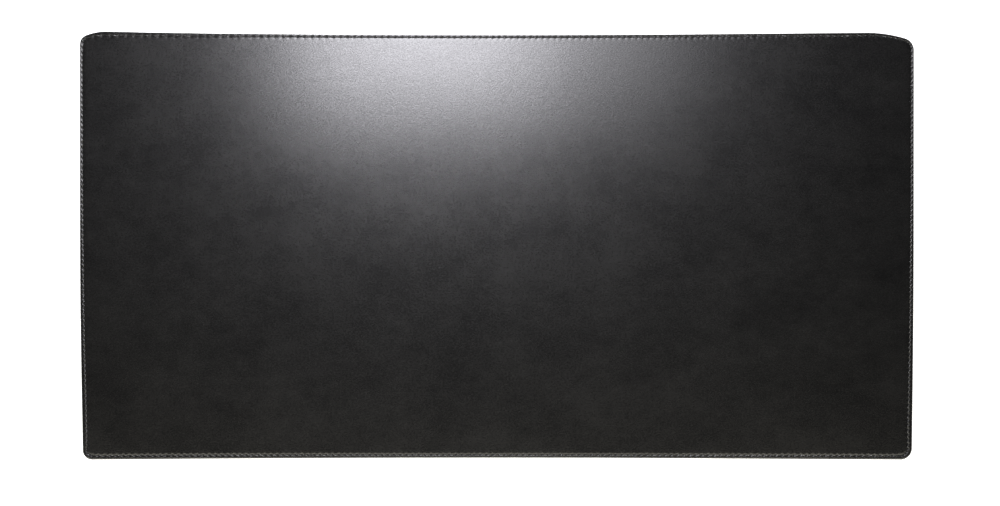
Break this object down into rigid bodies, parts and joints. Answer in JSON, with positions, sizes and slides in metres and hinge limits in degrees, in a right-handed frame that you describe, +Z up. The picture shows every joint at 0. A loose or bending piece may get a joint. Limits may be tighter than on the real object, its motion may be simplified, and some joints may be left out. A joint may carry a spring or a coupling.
{
  "type": "desk mat",
  "caption": "Flat rectangular desk mat: black leather turned over a padded board, stitched all round, with a suede backing.",
  "frame": {"origin": "centre of the underside, where the backing lies on the desk", "axes": "+X along the width, to the right of the person at the desk; +Y towards the back edge; +Z up out of the writing surface"},
  "size_m": [0.8, 0.4109, 0.005],
  "materials": {
    "cover_leather": "satin",
    "padding_foam": "matte",
    "core_greyboard": "matte",
    "infill_card": "matte",
    "backing_suede": "matte",
    "sewing_thread": "satin"
  },
  "bodies": {
    "root": {"leather_cover": "cover_leather", "foam_padding": "padding_foam", "core_board": "core_greyboard", "infill_card": "infill_card", "backing_sheet": "backing_suede", "needle_thread": "sewing_thread", "bobbin_thread": "sewing_thread"}
  },
  "joints": []
}
